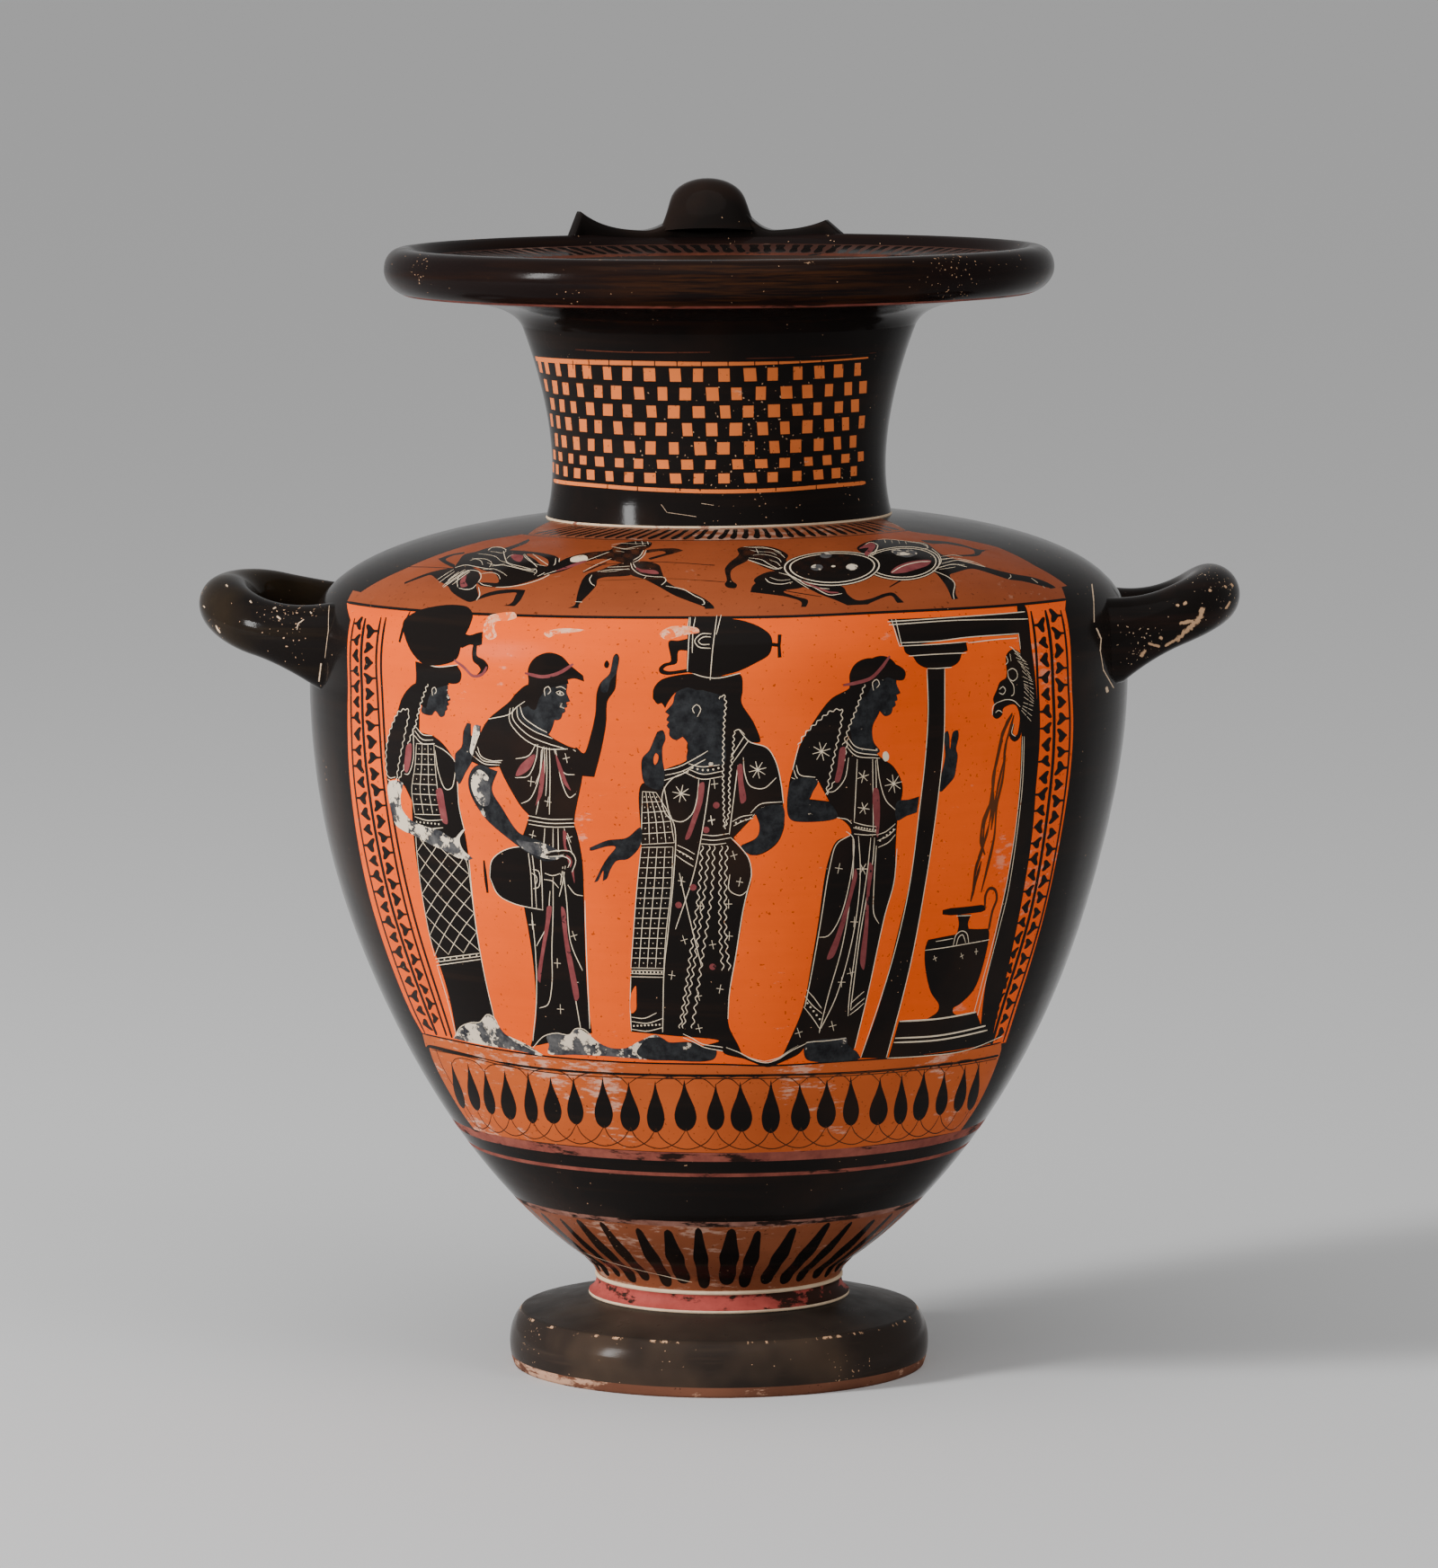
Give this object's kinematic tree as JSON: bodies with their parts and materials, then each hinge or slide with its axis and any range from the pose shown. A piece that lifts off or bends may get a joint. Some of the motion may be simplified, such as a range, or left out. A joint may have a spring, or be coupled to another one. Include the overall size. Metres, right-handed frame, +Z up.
{
  "type": "black-figure hydria",
  "caption": "Three-handled water jar of fired clay with a turned foot, broad sloping shoulder, narrow neck and flaring mouth, hollow and open at the top.",
  "frame": {"origin": "on the jar's axis, at the plane of the foot's resting ring", "axes": "+Z up along the axis; the painted front faces -Y; the two lifting handles point to -X and +X; the pouring handle is at +Y"},
  "size_m": [0.3185, 0.252, 0.362],
  "materials": {
    "clay": "fired clay under a glossy black slip, with reserved orange areas"
  },
  "bodies": {
    "root": {"hydria": "clay"}
  },
  "joints": []
}
